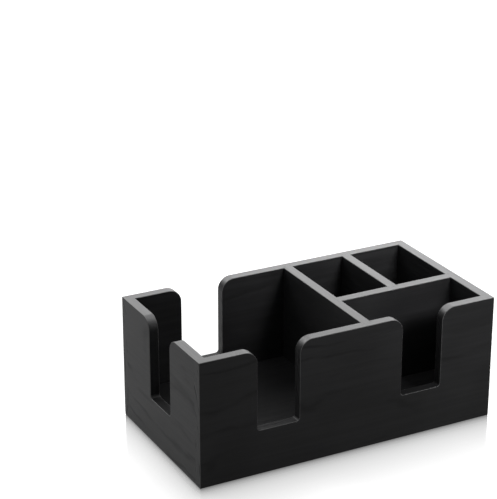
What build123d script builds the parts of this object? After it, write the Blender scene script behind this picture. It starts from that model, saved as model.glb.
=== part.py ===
from build123d import *
import os

# A free-standing caddy of nine-millimetre painted boards, open at the top.
# X runs along the front from left to right, Y runs from the front to the back, and Z is up.
# The origin is the middle of the footprint, on the surface that the caddy stands on.

# Overall box
length = 290.0
depth = 154.0
height = 116.0

# Board thicknesses
wall = 9.0
divider = 9.0
base = 9.0

# Layout: the top of the base board, the large bay on the left and the front cell on the right.
# The two rear cells share what is left between the bay divider and the right end.
base_top = 27.0
bay_width = 149.0
front_cell_depth = 47.0

# Slots, open at the top, with round shoulders and small floor corners.
# Those of the bay start this far in from the left end, and that of the front cell starts
# this far from the bay divider. The slot in the left end is central.
slot_width = 40.5
slot_floor = 41.5
bay_slot_inset = 54.0
cell_slot_inset = 28.5
shoulder_radius = 12.0
floor_corner_radius = 3.0

# Edges are eased all round once the caddy is together.
ease = 0.6

# Joinery: dividers and base sit in housings and grooves, with a little room for glue.
housing_depth = 3.0
joint_gap = 0.05

# Brads of flat wire with a T head, driven below the face and filled over
brad_width = 1.25
brad_thickness = 1.0
brad_length = 25.0
brad_head_width = 1.8
brad_head_height = 0.8
brad_set = 1.0
brad_margin = 14.0
brad_clearance = 0.05

# Places that follow from the sizes
half_length = length / 2
half_depth = depth / 2
inner_right = half_length - wall
inner_left = -inner_right
inner_back = half_depth - wall
inner_front = -inner_back
base_bottom = base_top - base
bay_divider_left = inner_left + bay_width
bay_divider_right = bay_divider_left + divider
cross_divider_front = inner_front + front_cell_depth
cross_divider_back = cross_divider_front + divider
cell_divider_centre = (bay_divider_right + inner_right) / 2
cell_divider_left = cell_divider_centre - divider / 2
cell_divider_right = cell_divider_centre + divider / 2
bay_slot_centre = -half_length + bay_slot_inset + slot_width / 2
cell_slot_centre = bay_divider_right + cell_slot_inset + slot_width / 2


def block(x_limits, y_limits, z_limits):
    """A square-edged block between two limits on each axis."""
    size = [high - low for low, high in (x_limits, y_limits, z_limits)]
    corner = (x_limits[0], y_limits[0], z_limits[0])
    return Pos(*corner) * Box(*size, align=(Align.MIN, Align.MIN, Align.MIN))


def wall_outline(board_length, slot_centres):
    """The face of a wall, standing on local X, with its slots cut down from the top edge."""
    outline = Rectangle(board_length, height, align=(Align.CENTER, Align.MIN))
    for centre in slot_centres:
        notch = Rectangle(slot_width, height, align=(Align.CENTER, Align.MIN))
        outline -= Pos(centre, slot_floor) * notch
    if not slot_centres:
        return outline
    rim_points = outline.vertices().group_by(Axis.Y)[-1].sort_by(Axis.X)
    outline = fillet(rim_points[1:-1], shoulder_radius)
    floor_points = outline.vertices().group_by(Axis.Y)[1]
    return fillet(floor_points, floor_corner_radius)


def wall_along_x(slot_centres, front_y):
    """A wall of the full length whose front face is at the given y."""
    outline = wall_outline(length, slot_centres)
    return Pos(0, front_y, 0) * extrude(Plane.XZ * outline, amount=-wall)


def wall_along_y(slot_centres, left_x):
    """A wall of the full depth whose left face is at the given x."""
    outline = wall_outline(depth, slot_centres)
    return Pos(left_x, 0, 0) * extrude(Plane.YZ * outline, amount=wall)


def distance_out(edge):
    """How far an upright edge stands from the middle, which is most at the four outer corners."""
    middle = edge.center()
    return abs(middle.X) + abs(middle.Y)


def joined_shape():
    """The whole caddy as it looks once it is glued up and every open edge is eased."""
    shape = wall_along_x([bay_slot_centre, cell_slot_centre], -half_depth)
    shape += wall_along_x([bay_slot_centre], inner_back)
    shape += wall_along_y([0], -half_length)
    shape += wall_along_y([], inner_right)
    inside_x = (inner_left, inner_right)
    inside_y = (inner_front, inner_back)
    above_base = (base_top, height)
    shape += block(inside_x, inside_y, (base_bottom, base_top))
    shape += block((bay_divider_left, bay_divider_right), inside_y, above_base)
    shape += block((bay_divider_right, inner_right), (cross_divider_front, cross_divider_back), above_base)
    shape += block((cell_divider_left, cell_divider_right), (cross_divider_back, inner_back), above_base)
    levels = shape.edges().group_by(Axis.Z)
    feet = levels[0]
    rims = levels[-1]
    outer_corners = shape.edges().filter_by(Axis.Z).sort_by(distance_out)[-4:]
    return fillet(feet + rims + outer_corners, ease)


def brad(room=0.0):
    """A brad that points up, with the top of its head at the origin and room added all round."""
    from_head = (Align.CENTER, Align.CENTER, Align.MIN)
    across = brad_thickness + 2 * room
    head = Box(brad_head_width + 2 * room, across, brad_head_height + room, align=from_head)
    shank = Box(brad_width + 2 * room, across, brad_length + room, align=from_head)
    return head + shank


def brad_places(face_point, direction, heights):
    """Where the brads of one joint go: driven into a face one above the other, with level heads."""
    inwards = Vector(*direction)
    along_grain = Vector(0, 0, 1).cross(inwards)
    places = []
    for brad_height in heights:
        origin = Vector(face_point[0], face_point[1], brad_height) + inwards * brad_set
        places.append(Plane(origin=origin, x_dir=along_grain, z_dir=inwards).location)
    return places


def corner_brad_places():
    """Three brads through the front or back board into the end of each end board."""
    heights = (brad_margin, height / 2, height - brad_margin)
    places = []
    for end in (-1, 1):
        for side in (-1, 1):
            face_point = (end * (half_length - wall / 2), side * half_depth)
            places += brad_places(face_point, (0, -side, 0), heights)
    return places


def divider_brad_places():
    """Two brads into each end of each divider."""
    heights = (base_top + brad_margin, height - brad_margin)
    bay_middle = bay_divider_left + divider / 2
    cross_middle = cross_divider_front + divider / 2
    places = []
    for side in (-1, 1):
        places += brad_places((bay_middle, side * half_depth), (0, -side, 0), heights)
    places += brad_places((half_length, cross_middle), (-1, 0, 0), heights)
    places += brad_places((bay_divider_left, cross_middle), (1, 0, 0), heights)
    places += brad_places((cell_divider_centre, half_depth), (0, -1, 0), heights)
    places += brad_places((cell_divider_centre, cross_divider_front), (0, 1, 0), heights)
    return places


def housing(x_limits, y_limits):
    """The recess that a divider's end slides into, from the base up past the rim."""
    wide_x = (x_limits[0] - joint_gap, x_limits[1] + joint_gap)
    wide_y = (y_limits[0] - joint_gap, y_limits[1] + joint_gap)
    return block(wide_x, wide_y, (base_top, height + ease))


def base_groove():
    """The groove that runs round the inside of the four walls for the base board."""
    reach_x = inner_right + housing_depth + joint_gap
    reach_y = inner_back + housing_depth + joint_gap
    return block((-reach_x, reach_x), (-reach_y, reach_y), (base_bottom, base_top + joint_gap))


def base_board():
    """The base, captured in the groove on all four sides."""
    reach_x = inner_right + housing_depth
    reach_y = inner_back + housing_depth
    return block((-reach_x, reach_x), (-reach_y, reach_y), (base_bottom, base_top))


def dividers():
    """The three dividers, square-edged, each with its ends let into what it meets."""
    from_base = (base_top, height)
    bay = block(
        (bay_divider_left, bay_divider_right),
        (inner_front - housing_depth, inner_back + housing_depth),
        from_base,
    )
    cross = block(
        (bay_divider_right - housing_depth, inner_right + housing_depth),
        (cross_divider_front, cross_divider_back),
        from_base,
    )
    cell = block(
        (cell_divider_left, cell_divider_right),
        (cross_divider_back - housing_depth, inner_back + housing_depth),
        from_base,
    )
    return bay, cross, cell


def divider_housings():
    """One recess for each divider end, cut from the board that it is let into."""
    bay_x = (bay_divider_left, bay_divider_right)
    cross_y = (cross_divider_front, cross_divider_back)
    cell_x = (cell_divider_left, cell_divider_right)
    in_front_board = [housing(bay_x, (inner_front - housing_depth, inner_front))]
    in_back_board = [
        housing(bay_x, (inner_back, inner_back + housing_depth)),
        housing(cell_x, (inner_back, inner_back + housing_depth)),
    ]
    in_right_end = [housing((inner_right, inner_right + housing_depth), cross_y)]
    in_bay_divider = [housing((bay_divider_right - housing_depth, bay_divider_right), cross_y)]
    in_cross_divider = [housing(cell_x, (cross_divider_back - housing_depth, cross_divider_back))]
    return in_front_board, in_back_board, in_right_end, in_bay_divider, in_cross_divider


def finished(blank, joined, cuts, brad_holes):
    """A board with its recesses and brad holes, trimmed to the eased shape of the whole caddy."""
    board = blank & joined
    for cut in cuts:
        board -= cut
    return board - brad_holes


def make_nodes():
    """Every separate piece of the caddy by name."""
    joined = joined_shape()
    corner_places = corner_brad_places()
    divider_places = divider_brad_places()
    brad_holes = [place * brad(brad_clearance) for place in corner_places + divider_places]
    in_front_board, in_back_board, in_right_end, in_bay_divider, in_cross_divider = divider_housings()
    bay, cross, cell = dividers()
    groove = [base_groove()]
    full_x = (-half_length, half_length)
    full_z = (0, height)
    between_y = (inner_front, inner_back)
    front = block(full_x, (-half_depth, inner_front), full_z)
    back = block(full_x, (inner_back, half_depth), full_z)
    left = block((-half_length, inner_left), between_y, full_z)
    right = block((inner_right, half_length), between_y, full_z)
    return {
        "front_board": finished(front, joined, in_front_board + groove, brad_holes),
        "back_board": finished(back, joined, in_back_board + groove, brad_holes),
        "left_end_board": finished(left, joined, groove, brad_holes),
        "right_end_board": finished(right, joined, in_right_end + groove, brad_holes),
        "base_board": base_board(),
        "bay_divider": finished(bay, joined, in_bay_divider, brad_holes),
        "cross_divider": finished(cross, joined, in_cross_divider, brad_holes),
        "cell_divider": finished(cell, joined, [], brad_holes),
        "corner_brads": Compound([place * brad() for place in corner_places]),
        "divider_brads": Compound([place * brad() for place in divider_places]),
    }


os.makedirs("parts", exist_ok=True)
for name, piece in make_nodes().items():
    export_step(piece, "parts/" + name + ".step")
    print(name, round(piece.volume, 1), piece.bounding_box().size)
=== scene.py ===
"""A painted wooden caddy, dressed for its portrait: paint over grain, hidden brads and a white studio."""

import logging
import math
from dataclasses import dataclass
from enum import Enum
from typing import Any, NamedTuple

import bmesh
import bpy
import numpy as np
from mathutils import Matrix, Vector


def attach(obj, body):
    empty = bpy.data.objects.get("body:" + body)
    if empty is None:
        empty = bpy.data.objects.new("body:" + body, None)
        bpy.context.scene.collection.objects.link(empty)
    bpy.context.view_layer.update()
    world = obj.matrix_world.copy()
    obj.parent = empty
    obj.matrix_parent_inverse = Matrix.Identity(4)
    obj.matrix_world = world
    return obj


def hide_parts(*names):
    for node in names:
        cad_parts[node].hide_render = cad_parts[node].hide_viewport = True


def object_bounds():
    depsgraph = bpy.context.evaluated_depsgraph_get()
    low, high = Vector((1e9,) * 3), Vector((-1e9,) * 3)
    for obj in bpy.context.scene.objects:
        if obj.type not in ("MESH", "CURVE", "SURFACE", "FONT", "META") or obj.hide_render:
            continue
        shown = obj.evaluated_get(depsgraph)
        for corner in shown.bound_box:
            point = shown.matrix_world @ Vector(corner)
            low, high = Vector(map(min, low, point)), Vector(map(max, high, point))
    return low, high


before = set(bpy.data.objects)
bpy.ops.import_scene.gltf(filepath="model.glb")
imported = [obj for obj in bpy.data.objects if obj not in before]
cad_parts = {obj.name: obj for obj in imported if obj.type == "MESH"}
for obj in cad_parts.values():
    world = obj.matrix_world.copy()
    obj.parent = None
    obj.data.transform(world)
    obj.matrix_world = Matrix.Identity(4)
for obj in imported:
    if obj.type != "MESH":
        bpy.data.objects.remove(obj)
CAD_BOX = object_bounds()

MM = 0.001
LOG = logging.getLogger("caddy")

# The sockets of a Mix node that carry colours
MIX_FIRST, MIX_SECOND, MIX_RESULT = 6, 7, 2
# The level that a noise swings about
NOISE_MIDDLE = 0.5

Rgba = tuple[float, float, float, float]
Xyz = tuple[float, float, float]
Range = tuple[float, float]


class Grain(Enum):
    """Which way the fibres of a board run."""

    ALONG_X = "x"
    ALONG_Y = "y"


class Value:
    """A number or a vector in a node tree. Python's operators on it add the Math nodes that work it out."""

    def __init__(self, sheet: "NodeSheet", socket: bpy.types.NodeSocket) -> None:
        """Wraps one output socket.

        Args:
            sheet: The node sheet that the socket is on.
            socket: The output that carries the number or the vector.
        """
        self.sheet = sheet
        self.socket = socket

    def _math(self, operation: str, *terms: Any) -> "Value":
        """One Math node on the given terms, in order."""
        inputs = dict(enumerate(terms))
        return self.sheet.node("ShaderNodeMath", {"operation": operation}, inputs)["Value"]

    def __add__(self, other: Any) -> "Value":
        """Self plus other."""
        return self._math("ADD", self, other)

    def __radd__(self, other: Any) -> "Value":
        """Other plus self."""
        return self._math("ADD", other, self)

    def __sub__(self, other: Any) -> "Value":
        """Self less other."""
        return self._math("SUBTRACT", self, other)

    def __rsub__(self, other: Any) -> "Value":
        """Other less self."""
        return self._math("SUBTRACT", other, self)

    def __mul__(self, other: Any) -> "Value":
        """Self times other."""
        return self._math("MULTIPLY", self, other)

    def __truediv__(self, other: Any) -> "Value":
        """Self over other."""
        return self._math("DIVIDE", self, other)

    def __pow__(self, other: Any) -> "Value":
        """Self to a power."""
        return self._math("POWER", self, other)

    def root(self) -> "Value":
        """The square root."""
        return self._math("SQRT", self)

    def size(self) -> "Value":
        """Self without its sign."""
        return self._math("ABSOLUTE", self)

    def or_else(self, other: Any) -> "Value":
        """The larger of two."""
        return self._math("MAXIMUM", self, other)

    def wave(self) -> "Value":
        """A sine wave between 0 and 1, one to each whole number."""
        return self._math("SINE", self * (2 * math.pi)) * 0.5 + 0.5

    def between(self, low: float, high: float) -> "Value":
        """How far self has come from low to high, smoothed and held between 0 and 1."""
        settings = {"interpolation_type": "SMOOTHSTEP"}
        inputs = {"Value": self, "From Min": low, "From Max": high}
        return self.sheet.node("ShaderNodeMapRange", settings, inputs)["Result"]


class MadeNode:
    """A node that has been added, with its outputs read by name or number."""

    def __init__(self, sheet: "NodeSheet", node: bpy.types.Node) -> None:
        """Wraps one node of a sheet."""
        self.sheet = sheet
        self.node = node

    def __getitem__(self, name: str | int) -> Value:
        """The output of that name or number."""
        return Value(self.sheet, self.node.outputs[name])


class NodeSheet:
    """A node tree, of a shader or of a shape, written from Python."""

    def __init__(self, tree: bpy.types.NodeTree) -> None:
        """Takes over a tree and empties it."""
        self.tree = tree
        self.tree.nodes.clear()

    def node(self, kind: str, settings: dict[str, Any], inputs: dict[Any, Any]) -> MadeNode:
        """Adds a node.

        Args:
            kind: Blender's name for the node's type.
            settings: The node's own properties, set first.
            inputs: What goes into each socket, by name or number: a plain value or a Value.

        Returns:
            The node, whose outputs are read by name.
        """
        made = self.tree.nodes.new(kind)
        for name, setting in settings.items():
            setattr(made, name, setting)
        self.fill(made, inputs)
        return MadeNode(self, made)

    def fill(self, node: bpy.types.Node, inputs: dict[Any, Any]) -> None:
        """Puts a plain value or a Value into each socket named or numbered."""
        for name, given in inputs.items():
            if isinstance(given, Value):
                self.tree.links.new(given.socket, node.inputs[name])
            else:
                node.inputs[name].default_value = given

    def mixed(self, share: Any, first: Any, second: Any) -> Value:
        """A colour between two others, the first where share is 0."""
        inputs = {"Factor": share, MIX_FIRST: first, MIX_SECOND: second}
        return self.node("ShaderNodeMix", {"data_type": "RGBA"}, inputs)[MIX_RESULT]

    def vector(self, x: Any, y: Any, z: Any) -> Value:
        """Three numbers as one vector."""
        return self.node("ShaderNodeCombineXYZ", {}, {"X": x, "Y": y, "Z": z})["Vector"]

    def noise(self, vector: Value, detail: float = 2.0, roughness: float = 0.5) -> Value:
        """Smooth noise about its middle, one swell to each unit of the vector."""
        inputs = {"Vector": vector, "Scale": 1.0, "Detail": detail, "Roughness": roughness}
        return self.node("ShaderNodeTexNoise", {}, inputs)["Fac"]

    def shader_out(self, shader: Value) -> None:
        """Sends a shader to the material's surface."""
        self.node("ShaderNodeOutputMaterial", {}, {"Surface": shader})


def grey(level: float) -> Rgba:
    """A neutral colour of one linear level."""
    return (level, level, level, 1.0)


def add_object(name: str, data: bpy.types.ID) -> bpy.types.Object:
    """Puts a new object with the given data in the scene."""
    made = bpy.data.objects.new(name, data)
    bpy.context.scene.collection.objects.link(made)
    return made


def new_material(name: str) -> tuple[bpy.types.Material, NodeSheet]:
    """A new material, and the empty sheet for its nodes."""
    made = bpy.data.materials.new(name)
    made.use_nodes = True
    return made, NodeSheet(made.node_tree)


class Place(NamedTuple):
    """A place on a board, in metres: along its fibres, across them and up."""

    along: Value
    across: Value
    up: Value

    def scaled(self, length: float, width: float, height: float) -> Value:
        """The place as a vector, counted in steps of the given sizes."""
        return self.up.sheet.vector(self.along / length, self.across / width, self.up / height)


@dataclass(frozen=True)
class BlackPaint:
    """Black paint on a board, thin enough that the wood's grain still shows in it."""

    grain: Grain
    heart: tuple[float, float]  # where the tree's heart lies, across the board and above z = 0
    start: float  # where along its trunk the board was cut, which sets its own pattern
    ring_strength: float = 1.0
    rim: bool = True  # whether the board has a rim and open edges, which take the worn paint and painted highlight

    # Colours: where the paint is thick, where it is thin, and a light grey that is partly worn paint and partly
    # a painted highlight
    thick: Rgba = (0.0026, 0.0026, 0.0028, 1.0)
    thin: Rgba = (0.0102, 0.0102, 0.0108, 1.0)
    # Light grey that is partly worn paint and partly a painted highlight of overhead light on the rim and eased
    # edges
    worn_and_highlit: Rgba = (0.105, 0.105, 0.106, 1.0)

    # Growth rings: how they wander and wobble along the board, and the patches in which they show
    ring_gap: float = 8.0 * MM
    ring_sharpness: float = 7.0
    ring_wander: float = 26.0 * MM
    wander_length: float = 210.0 * MM
    wobble: float = 1.6  # in rings
    wobble_length: float = 70.0 * MM
    wobble_height: float = 35.0 * MM
    patch_length: float = 70.0 * MM
    patch_width: float = 8.0 * MM
    patch_height: float = 16.0 * MM
    patch_range: Range = (0.42, 0.64)

    # Fibres, streaks and clouds of thinner paint
    fibre_length: float = 40.0 * MM
    fibre_width: float = 0.7 * MM
    streak_length: float = 120.0 * MM
    streak_width: float = 2.8 * MM
    streak_range: Range = (0.35, 0.70)
    cloud_size: float = 70.0 * MM
    cloud_range: Range = (0.30, 0.75)

    # How much each of them thins the paint, and how much a ring thickens it
    fibre_thins: float = 0.25
    streak_thins: float = 0.30
    cloud_thins: float = 0.45
    ring_thickens: float = 0.85

    # Relief: its depth, and each one's share in it
    relief: float = 0.10 * MM
    fibre_height: float = 0.4
    streak_height: float = 0.3
    ring_depth: float = 1.2

    # Gloss, with a coat only under the worn paint and painted highlight
    roughness: float = 0.44
    roughness_swing: float = 0.14
    specular: float = 0.16
    coat: float = 0.70
    coat_roughness: float = 0.38
    haze: float = 0.06
    haze_roughness: float = 0.30
    haze_tint: Rgba = (0.94, 0.97, 1.0, 1.0)

    # Worn paint and painted highlight, standing in for overhead light caught on tops and eased edges: on the
    # rim by its height and by how much it faces up, and on an eased edge by how far round it is
    rim_height: Range = (99.0 * MM, 106.0 * MM)
    rim_facing: Range = (0.45, 1.0)
    edge_begins: Range = (0.10, 0.35)
    edge_ends: Range = (0.80, 0.97)
    edge_share: float = 0.5
    even_share: float = 0.7
    fibre_share: float = 0.6

    def material(self, name: str) -> bpy.types.Material:
        """Builds the material.

        Args:
            name: What the material is called.

        Returns:
            The paint, ready for a board's slot.
        """
        made, sheet = new_material(name)
        place = self._place(sheet)
        rings = self._rings(sheet, place)
        fibres = self._streaks(sheet, place, self.fibre_length, self.fibre_width)
        streaks = self._streaks(sheet, place, self.streak_length, self.streak_width)
        clouds = sheet.noise(place.scaled(self.cloud_size, self.cloud_size, self.cloud_size))
        # Where the light grey goes: worn paint and a painted highlight on up-facing rim tops and eased edges
        wear_and_highlight = self._wear_and_highlight(sheet, place, fibres)
        thinness = (
            clouds.between(*self.cloud_range) * self.cloud_thins
            + streaks.between(*self.streak_range) * self.streak_thins
            + fibres * self.fibre_thins
        ) * (1 - rings * self.ring_thickens)
        height = fibres * self.fibre_height + streaks * self.streak_height - rings * self.ring_depth
        bump = {"Strength": 1.0, "Distance": self.relief, "Height": height}
        surface = {
            "Base Color": sheet.mixed(wear_and_highlight, sheet.mixed(thinness, self.thick, self.thin), self.worn_and_highlit),
            "Roughness": self.roughness + (streaks + rings - NOISE_MIDDLE) * self.roughness_swing,
            "Specular IOR Level": self.specular,
            "Coat Weight": wear_and_highlight * self.coat,
            "Coat Roughness": self.coat_roughness,
            "Sheen Weight": self.haze,
            "Sheen Roughness": self.haze_roughness,
            "Sheen Tint": self.haze_tint,
            "Normal": sheet.node("ShaderNodeBump", {}, bump)["Normal"],
        }
        sheet.shader_out(sheet.node("ShaderNodeBsdfPrincipled", {}, surface)["BSDF"])
        return made

    def _place(self, sheet: NodeSheet) -> Place:
        """The place on the board, counted along its fibres from where the trunk began."""
        coordinates = sheet.node("ShaderNodeTexCoord", {}, {})["Object"]
        axes = sheet.node("ShaderNodeSeparateXYZ", {}, {"Vector": coordinates})
        if self.grain is Grain.ALONG_X:
            return Place(axes["X"] + self.start, axes["Y"], axes["Z"])
        return Place(axes["Y"] + self.start, axes["X"], axes["Z"])

    def _rings(self, sheet: NodeSheet, place: Place) -> Value:
        """The dark late wood of each growth ring, strongest in its middle, as it cuts the board's surface."""
        along_only = sheet.vector(place.along / self.wander_length, 0.0, 0.0)
        wander = (sheet.noise(along_only, detail=1.0) - NOISE_MIDDLE) * self.ring_wander
        across = place.across - self.heart[0] + wander
        up = place.up - self.heart[1] + wander
        radius = (across * across + up * up).root()
        wobble = sheet.noise(place.scaled(self.wobble_length, self.wobble_length, self.wobble_height))
        ridge = (radius / self.ring_gap + wobble * self.wobble).wave() ** self.ring_sharpness
        patches = sheet.noise(place.scaled(self.patch_length, self.patch_width, self.patch_height))
        return ridge * patches.between(*self.patch_range) * self.ring_strength

    def _streaks(self, sheet: NodeSheet, place: Place, length: float, width: float) -> Value:
        """Streaks along the board, of about the given length and width."""
        return sheet.noise(place.scaled(length, width, width), detail=3.0, roughness=0.6)

    def _wear_and_highlight(self, sheet: NodeSheet, place: Place, fibres: Value) -> Value | float:
        """Where the paint is worn, and where a highlight of the overhead light is painted in.

        Args:
            sheet: The paint's node sheet.
            place: The place on the board.
            fibres: The wood's fibres, which make the mark stronger where they stand out.

        Returns:
            1 or so on the rim's flat top and less along the eased edges, or 0 for a board with no rim.
        """
        if not self.rim:
            return 0.0
        normal = sheet.node("ShaderNodeTexCoord", {}, {})["Normal"]
        facing = sheet.node("ShaderNodeSeparateXYZ", {}, {"Vector": normal})
        # Painted highlight: rim tops near the top edge are made lighter the more they face up, as overhead
        # light makes them
        on_rim = place.up.between(*self.rim_height) * facing["Z"].between(*self.rim_facing)
        through = facing["Y" if self.grain is Grain.ALONG_X else "X"].size()
        on_edge = through.between(*self.edge_begins) * (1 - through.between(*self.edge_ends))
        return on_rim.or_else(on_edge * self.edge_share) * (self.even_share + fibres * self.fibre_share)


@dataclass(frozen=True)
class BradWire:
    """Bright flat steel wire, drawn lengthwise."""

    name: str = "brad_wire"
    colour: Rgba = (0.45, 0.45, 0.46, 1.0)
    scratched: Rgba = (0.62, 0.62, 0.62, 1.0)
    roughness: float = 0.30
    roughness_swing: float = 0.12
    scratch_width: float = 0.12 * MM
    scratch_length: float = 4.0 * MM

    def material(self) -> bpy.types.Material:
        """Builds the material, once for all brads.

        Returns:
            The wire's finish.
        """
        known = bpy.data.materials.get(self.name)
        if known:
            return known
        made, sheet = new_material(self.name)
        coordinates = sheet.node("ShaderNodeTexCoord", {}, {})["Object"]
        axes = sheet.node("ShaderNodeSeparateXYZ", {}, {"Vector": coordinates})
        place = Place(axes["X"], axes["Y"], axes["Z"])
        drawn = place.scaled(self.scratch_length, self.scratch_length, self.scratch_width)
        scratches = sheet.noise(drawn, detail=3.0)
        surface = {
            "Base Color": sheet.mixed(scratches, self.colour, self.scratched),
            "Metallic": 1.0,
            "Roughness": self.roughness + (scratches - NOISE_MIDDLE) * self.roughness_swing,
        }
        sheet.shader_out(sheet.node("ShaderNodeBsdfPrincipled", {}, surface)["BSDF"])
        return made


@dataclass
class Board:
    """One board of the caddy: the CAD solid with its facets joined up and its curves shaded round."""

    node: str
    paint: BlackPaint
    weld: float = 0.002 * MM
    # A face is flat if its normal is this near to an axis, and two faces share a curve if theirs are this near
    flat: float = math.cos(math.radians(0.5))
    tangent: float = math.cos(math.radians(32.0))

    def build(self) -> bpy.types.Object:
        """Makes the board's mesh, paints it and sets it in the frame.

        Returns:
            The finished piece.
        """
        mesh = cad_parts[self.node].data.copy()
        mesh.name = self.node + "_board"
        self._weld(mesh)
        self._round_curves(mesh)
        mesh.materials.clear()
        mesh.materials.append(self.paint.material("paint_" + self.node))
        piece = add_object("painted_" + self.node, mesh)
        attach(piece, "root")
        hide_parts(self.node)
        return piece

    def _weld(self, mesh: bpy.types.Mesh) -> None:
        """Joins the loose triangles at their shared corners."""
        work = bmesh.new()
        work.from_mesh(mesh)
        bmesh.ops.remove_doubles(work, verts=work.verts, dist=self.weld)
        work.to_mesh(mesh)
        work.free()

    def _round_curves(self, mesh: bpy.types.Mesh) -> None:
        """Shades flat faces flat and eased edges round, by setting each face corner's normal."""
        mesh.shade_smooth()
        faces = [np.array(polygon.normal) for polygon in mesh.polygons]
        areas = [polygon.area for polygon in mesh.polygons]
        is_flat = [np.abs(normal).max() > self.flat for normal in faces]
        around: list[list[int]] = [[] for _ in mesh.vertices]
        for polygon in mesh.polygons:
            for corner in polygon.vertices:
                around[corner].append(polygon.index)
        normals = []
        for polygon in mesh.polygons:
            own = faces[polygon.index]
            for corner in polygon.vertices:
                near = [i for i in around[corner] if faces[i] @ own > self.tangent]
                flats = [i for i in near if is_flat[i]]
                if is_flat[polygon.index]:
                    normals.append(own)
                elif flats:
                    normals.append(faces[max(flats, key=lambda i: faces[i] @ own)])
                else:
                    total = sum(faces[i] * areas[i] for i in near)
                    normals.append(total / np.linalg.norm(total))
        mesh.normals_split_custom_set([tuple(normal) for normal in normals])


@dataclass
class Case:
    """The four walls and the raised base."""

    def build(self) -> list[bpy.types.Object]:
        """Builds every board of the case.

        Returns:
            The boards, front first.
        """
        paints = {
            "front_board": BlackPaint(Grain.ALONG_X, heart=(0.03, 0.030), start=0.37, ring_strength=1.5),
            "left_end_board": BlackPaint(Grain.ALONG_Y, heart=(-0.03, 0.085), start=2.10, ring_strength=0.55),
            "back_board": BlackPaint(Grain.ALONG_X, heart=(0.19, 0.050), start=3.75),
            "right_end_board": BlackPaint(Grain.ALONG_Y, heart=(0.05, 0.020), start=5.20),
            "base_board": BlackPaint(Grain.ALONG_X, heart=(0.02, -0.090), start=6.40, rim=False),
        }
        return [Board(node, paint).build() for node, paint in paints.items()]


@dataclass
class Dividers:
    """The three boards that part the bay and the cells."""

    def build(self) -> list[bpy.types.Object]:
        """Builds the dividers.

        Returns:
            The bay divider, the cross divider and the cell divider.
        """
        paints = {
            "bay_divider": BlackPaint(Grain.ALONG_Y, heart=(-0.06, 0.050), start=7.70),
            "cross_divider": BlackPaint(Grain.ALONG_X, heart=(0.06, 0.100), start=9.10),
            "cell_divider": BlackPaint(Grain.ALONG_Y, heart=(0.02, 0.010), start=10.60),
        }
        return [Board(node, paint).build() for node, paint in paints.items()]


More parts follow.
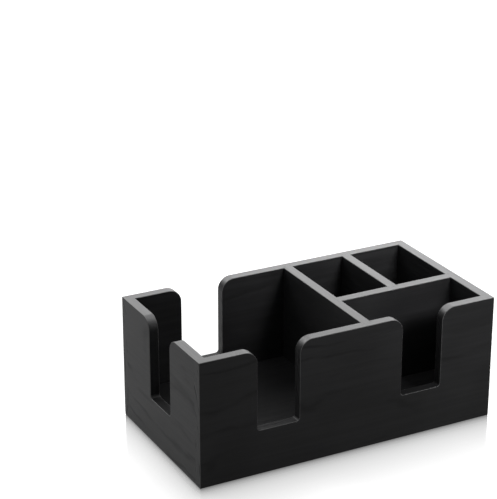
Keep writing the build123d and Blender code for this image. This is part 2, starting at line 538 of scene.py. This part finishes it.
@dataclass
class BradShape:
    """The rule for one brad of flat wire: a T head, a straight shank and a chiselled point."""

    width: float = 1.25 * MM
    thickness: float = 1.0 * MM
    length: float = 25.0 * MM
    head_width: float = 1.8 * MM
    head_height: float = 0.8 * MM
    point_length: float = 2.2 * MM
    point_width: float = 0.35 * MM
    eased: float = 0.08 * MM

    def inputs(self) -> dict[str, float]:
        """The sizes that the node tree asks for, by the names of its inputs."""
        return {
            "Width": self.width,
            "Thickness": self.thickness,
            "Length": self.length,
            "Head Width": self.head_width,
            "Head Height": self.head_height,
            "Point Length": self.point_length,
            "Point Width": self.point_width,
        }

    def tree(self, finish: bpy.types.Material) -> bpy.types.NodeTree:
        """Builds the nodes that set a brad on every point of a mesh.

        Each point is the middle of a head's top. Its attributes say which way the brad is driven
        ("inwards") and which way its head lies ("grain").

        Args:
            finish: The material of the wire.

        Returns:
            The node tree.
        """
        made = bpy.data.node_groups.new("brads_on_points", "GeometryNodeTree")
        made.interface.new_socket("Geometry", in_out="INPUT", socket_type="NodeSocketGeometry")
        for name in self.inputs():
            made.interface.new_socket(name, in_out="INPUT", socket_type="NodeSocketFloat")
        made.interface.new_socket("Geometry", in_out="OUTPUT", socket_type="NodeSocketGeometry")
        sheet = NodeSheet(made)
        given = sheet.node("NodeGroupInput", {}, {})
        axes = {"primary_axis": "Z", "secondary_axis": "X"}
        directions = {0: self._attribute(sheet, "inwards"), 1: self._attribute(sheet, "grain")}
        turn = sheet.node("FunctionNodeAxesToRotation", axes, directions)[0]
        driven = {"Points": given["Geometry"], "Instance": self._brad(sheet, given), "Rotation": turn}
        brads = sheet.node("GeometryNodeInstanceOnPoints", {}, driven)["Instances"]
        real = sheet.node("GeometryNodeRealizeInstances", {}, {"Geometry": brads})["Geometry"]
        dressed = sheet.node("GeometryNodeSetMaterial", {}, {"Geometry": real, "Material": finish})["Geometry"]
        sheet.node("NodeGroupOutput", {}, {"Geometry": dressed})
        return made

    def _brad(self, sheet: NodeSheet, given: MadeNode) -> Value:
        """One brad, from its head up to its point: a unit block with each level moved and sized.

        Args:
            sheet: The tree's node sheet.
            given: The node that brings the sizes.

        Returns:
            The brad's mesh.
        """
        head_end = given["Head Height"]
        shank_end = given["Length"] - given["Point Length"]
        head, shank, point = given["Head Width"], given["Width"], given["Point Width"]
        depths = (0.0, head_end, head_end, shank_end, given["Length"])
        widths = (head, head, shank, shank, point)
        unit = {"Size": (1.0, 1.0, 1.0), "Vertices X": 2, "Vertices Y": 2, "Vertices Z": len(depths)}
        block = sheet.node("GeometryNodeMeshCube", {}, unit)["Mesh"]
        position = sheet.node("GeometryNodeInputPosition", {}, {})["Position"]
        corner = sheet.node("ShaderNodeSeparateXYZ", {}, {"Vector": position})
        rank = (corner["Z"] + 0.5) * (len(depths) - 1)
        level = sheet.node("FunctionNodeFloatToInt", {"rounding_mode": "ROUND"}, {0: rank})[0]
        depth = self._by_level(sheet, level, depths)
        width = self._by_level(sheet, level, widths)
        place = sheet.vector(corner["X"] * width, corner["Y"] * given["Thickness"], depth)
        return sheet.node("GeometryNodeSetPosition", {}, {"Geometry": block, "Position": place})["Geometry"]

    def _by_level(self, sheet: NodeSheet, level: Value, sizes: tuple[Any, ...]) -> Value:
        """The size that belongs to each level of the brad, from its head on."""
        switch = sheet.node("GeometryNodeIndexSwitch", {"data_type": "FLOAT"}, {"Index": level})
        while len(switch.node.index_switch_items) < len(sizes):
            switch.node.index_switch_items.new()
        sheet.fill(switch.node, dict(enumerate(sizes, start=1)))
        return switch[0]

    def _attribute(self, sheet: NodeSheet, name: str) -> Value:
        """A direction that each point carries."""
        return sheet.node("GeometryNodeInputNamedAttribute", {"data_type": "FLOAT_VECTOR"}, {"Name": name})[0]


@dataclass(frozen=True)
class Driven:
    """A row of brads, one above the other, in millimetres: where it enters, which way and how high."""

    x: float
    y: float
    inwards: Xyz
    heights: tuple[float, ...]

    def heads(self) -> list[Xyz]:
        """The middles of the heads' tops, in metres."""
        return [(self.x * MM, self.y * MM, height * MM) for height in self.heights]

    def grain(self) -> Xyz:
        """The level direction across the brad, which its head lies along."""
        return tuple(Vector((0, 0, 1)).cross(Vector(self.inwards)))


@dataclass(frozen=True)
class Joints:
    """Where the boards meet, in millimetres, and how far the brads are set into them."""

    half_length: float = 145.0
    half_depth: float = 77.0
    height: float = 116.0
    board: float = 9.0
    base_top: float = 27.0
    bay_divider_left: float = 13.0
    cross_divider_front: float = -21.0
    cell_divider_middle: float = 79.0
    head_set: float = 1.0  # how deep the heads lie below the face
    margin: float = 14.0  # from the top of a joint, or its foot, to the nearest brad

    def corners(self) -> tuple[Driven, ...]:
        """Three brads through the front or back board into the end of each end board."""
        heights = (self.margin, self.height / 2, self.height - self.margin)
        end_middle = self.half_length - self.board / 2
        head = self.half_depth - self.head_set
        return tuple(
            Driven(end * end_middle, side * head, (0.0, -side, 0.0), heights)
            for end in (-1.0, 1.0)
            for side in (-1.0, 1.0)
        )

    def dividers(self) -> tuple[Driven, ...]:
        """Two brads into each end of each divider."""
        heights = (self.base_top + self.margin, self.height - self.margin)
        bay_middle = self.bay_divider_left + self.board / 2
        cross_middle = self.cross_divider_front + self.board / 2
        wall_head = self.half_depth - self.head_set
        to_front, to_back = (0.0, -1.0, 0.0), (0.0, 1.0, 0.0)
        to_left, to_right = (-1.0, 0.0, 0.0), (1.0, 0.0, 0.0)
        return (
            Driven(bay_middle, -wall_head, to_back, heights),
            Driven(bay_middle, wall_head, to_front, heights),
            Driven(self.half_length - self.head_set, cross_middle, to_left, heights),
            Driven(self.bay_divider_left + self.head_set, cross_middle, to_right, heights),
            Driven(self.cell_divider_middle, wall_head, to_front, heights),
            Driven(self.cell_divider_middle, self.cross_divider_front + self.head_set, to_back, heights),
        )


@dataclass
class Brads:
    """The brads of one kind of joint, below the faces of the boards and filled over."""

    node: str
    rows: tuple[Driven, ...]
    shape: BradShape
    wire: BradWire

    def build(self) -> list[bpy.types.Object]:
        """Drives every brad of the set and joins them in one piece.

        Returns:
            The piece, alone in a list.
        """
        piece = add_object("driven_" + self.node, self._mesh())
        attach(piece, "root")
        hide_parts(self.node)
        return [piece]

    def _mesh(self) -> bpy.types.Mesh:
        """All the brads as one mesh, from the shape's nodes and a small bevel."""
        finish = self.wire.material()
        tree = self.shape.tree(finish)
        sizes = self.shape.inputs()
        maker = add_object(self.node + "_maker", self._points())
        driver = maker.modifiers.new("brads", "NODES")
        driver.node_group = tree
        for socket in tree.interface.items_tree:
            if socket.name in sizes:
                driver[socket.identifier] = sizes[socket.name]
        bevel = maker.modifiers.new("eased", "BEVEL")
        bevel.width = self.shape.eased
        bevel.segments = 1
        bevel.limit_method = "ANGLE"
        ready = maker.evaluated_get(bpy.context.evaluated_depsgraph_get())
        mesh = bpy.data.meshes.new_from_object(ready)
        mesh.name = self.node + "_set"
        mesh.materials.clear()
        mesh.materials.append(finish)
        mesh.polygons.foreach_set("material_index", [0] * len(mesh.polygons))
        bpy.data.objects.remove(maker)
        return mesh

    def _points(self) -> bpy.types.Mesh:
        """A point for each brad, at the middle of its head's top, with the directions it is set by."""
        points = bpy.data.meshes.new(self.node + "_points")
        points.from_pydata([head for row in self.rows for head in row.heads()], [], [])
        for name, directions in (
            ("inwards", [row.inwards for row in self.rows for _ in row.heights]),
            ("grain", [row.grain() for row in self.rows for _ in row.heights]),
        ):
            kept = points.attributes.new(name, "FLOAT_VECTOR", "POINT")
            kept.data.foreach_set("vector", [part for direction in directions for part in direction])
        return points


@dataclass
class SoftBox:
    """A studio lamp behind a white cloth."""

    name: str
    place: Xyz
    aim: Xyz
    width: float
    height: float
    radiance: float
    spread: float = 180.0

    def build(self) -> bpy.types.Object:
        """Hangs the lamp.

        Returns:
            The lamp's object.
        """
        lamp = bpy.data.lights.new(self.name, "AREA")
        lamp.shape = "RECTANGLE"
        lamp.size = self.width
        lamp.size_y = self.height
        lamp.energy = self.radiance * math.pi * self.width * self.height
        lamp.spread = math.radians(self.spread)
        made = add_object(self.name, lamp)
        made.location = self.place
        towards = Vector(self.aim) - Vector(self.place)
        made.rotation_euler = towards.to_track_quat("-Z", "Y").to_euler()
        made.visible_camera = False
        return made


@dataclass
class Camera:
    """The camera, where the picture was taken from."""

    place: Xyz = (-0.72060, -1.26189, 0.75087)
    forward: Xyz = (0.43011, 0.82063, -0.37626)
    lens: float = 130.3
    sensor: float = 36.0
    farthest: float = 50.0

    def build(self) -> bpy.types.Object:
        """Sets the camera up and makes it the scene's own.

        Returns:
            The camera's object.
        """
        camera = bpy.data.cameras.new("camera")
        camera.sensor_fit = "HORIZONTAL"
        camera.sensor_width = self.sensor
        camera.lens = self.lens
        camera.clip_end = self.farthest
        made = add_object("camera", camera)
        made.location = self.place
        made.rotation_euler = Vector(self.forward).to_track_quat("-Z", "Y").to_euler()
        bpy.context.scene.camera = made
        return made


@dataclass
class Studio:
    """A glossy white floor under an even white sky, with the lamps."""

    floor_size: float = 16.0
    floor_drop: float = 0.1 * MM
    floor_colour: float = 0.75
    floor_fill: float = 0.22  # what reflections find added, so that the floor is as white in them
    background_shadow: float = 0.32  # how far the white background still follows the light on it
    background_lift: float = 0.885
    mirror_share: float = 0.38
    mirror_roughness: float = 0.10
    mirror_reach: tuple[float, float] = (40.0 * MM, 62.0 * MM)  # past the ends, and past the front and back
    contact_share: float = 0.42  # what is added to the mirror's share at the caddy's very foot
    contact_fade: float = 8.0
    sky_level: float = 0.30

    def build(self) -> None:
        """Lays the floor, lights the sky and hangs the lamps."""
        self._floor()
        self._sky()
        lamps = [
            SoftBox("top_lamp", (0.00, -0.05, 1.50), (0.0, 0.0, 0.05), width=1.2, height=1.2, radiance=1.2),
            SoftBox("rim_lamp", (0.95, 1.90, 0.95), (0.0, 0.0, 0.10), width=2.2, height=0.9, radiance=1.04),
            SoftBox(
                "front_lamp", (0.30, -0.50, 0.60), (0.24, -0.077, 0.38),
                width=0.4, height=0.4, radiance=5.4, spread=38.0,
            ),
            SoftBox("left_lamp", (-0.80, 0.35, 0.45), (-0.12, 0.0, 0.08), width=0.5, height=0.5, radiance=0.4),
            SoftBox("back_lamp", (-0.40, 0.85, 0.95), (-0.05, 0.05, 0.08), width=0.6, height=0.6, radiance=5.0),
        ]
        for lamp in lamps:
            lamp.build()

    def _floor(self) -> None:
        """The floor: white and glossy, so that it keeps the caddy's shadow and the foot of its image."""
        half = self.floor_size / 2
        corners = [(x * half, y * half, -self.floor_drop) for x, y in ((-1, -1), (1, -1), (1, 1), (-1, 1))]
        mesh = bpy.data.meshes.new("floor")
        mesh.from_pydata(corners, [], [(0, 1, 2, 3)])
        floor = add_object("floor", mesh)
        mesh.materials.append(self._floor_finish())

    def _floor_finish(self) -> bpy.types.Material:
        """A white that is nearly even to the camera, with a polish that fades away from the caddy.

        Returns:
            The floor's material.
        """
        made, sheet = new_material("floor_white")
        camera, reflection = self._rays(sheet)
        colour = sheet.mixed(camera, grey(self.floor_colour), grey(self.background_shadow))
        lit = sheet.node("ShaderNodeBsdfDiffuse", {}, {"Color": colour})["BSDF"]
        lift = camera * self.background_lift + reflection * self.floor_fill
        glow = sheet.node("ShaderNodeEmission", {}, {"Strength": lift})["Emission"]
        white = sheet.node("ShaderNodeAddShader", {}, {0: lit, 1: glow})["Shader"]
        mirror = {"Color": grey(1.0), "Roughness": self.mirror_roughness}
        polish = sheet.node("ShaderNodeBsdfGlossy", {}, mirror)["BSDF"]
        near = self._near(sheet)
        share = (near * self.mirror_share + near ** self.contact_fade * self.contact_share) * camera
        sheet.shader_out(sheet.node("ShaderNodeMixShader", {}, {0: share, 1: white, 2: polish})["Shader"])
        return made

    def _rays(self, sheet: NodeSheet) -> tuple[Value, Value]:
        """What looks on: 1 for the camera itself, and 1 for a reflection or a clear pane."""
        path = sheet.node("ShaderNodeLightPath", {}, {})
        return path["Is Camera Ray"], path["Is Glossy Ray"].or_else(path["Is Transmission Ray"])

    def _near(self, sheet: NodeSheet) -> Value:
        """1 on the floor at the caddy's foot, falling evenly to 0 where its mirror image ends."""
        place = sheet.node("ShaderNodeTexCoord", {}, {})["Object"]
        axes = sheet.node("ShaderNodeSeparateXYZ", {}, {"Vector": place})
        end = CAD_BOX[1]
        past_x = (axes["X"].size() - end[0]).or_else(0.0) / self.mirror_reach[0]
        past_y = (axes["Y"].size() - end[1]).or_else(0.0) / self.mirror_reach[1]
        return (1 - (past_x * past_x + past_y * past_y).root()).or_else(0.0)

    def _sky(self) -> None:
        """The sky: white where it is seen, and much lower where it lights the caddy."""
        world = bpy.data.worlds.new("sky")
        world.use_nodes = True
        bpy.context.scene.world = world
        sheet = NodeSheet(world.node_tree)
        camera, reflection = self._rays(sheet)
        level = self.sky_level + camera.or_else(reflection) * (1.0 - self.sky_level)
        sky = sheet.node("ShaderNodeBackground", {}, {"Color": grey(1.0), "Strength": level})["Background"]
        sheet.node("ShaderNodeOutputWorld", {}, {"Surface": sky})


def main() -> None:
    """Sets the camera, builds the caddy's pieces in order and lights them."""
    logging.basicConfig(level=logging.INFO, format="%(name)s: %(message)s")
    bpy.context.scene.view_settings.view_transform = "Standard"
    Camera().build()
    joints = Joints()
    wire = BradWire()
    assemblies = (
        Case(),
        Dividers(),
        Brads("corner_brads", joints.corners(), BradShape(), wire),
        Brads("divider_brads", joints.dividers(), BradShape(), wire),
    )
    for assembly in assemblies:
        for piece in assembly.build():
            LOG.info("%s: %d faces", piece.name, len(piece.data.polygons))
    Studio().build()


if __name__ == "__main__":
    main()
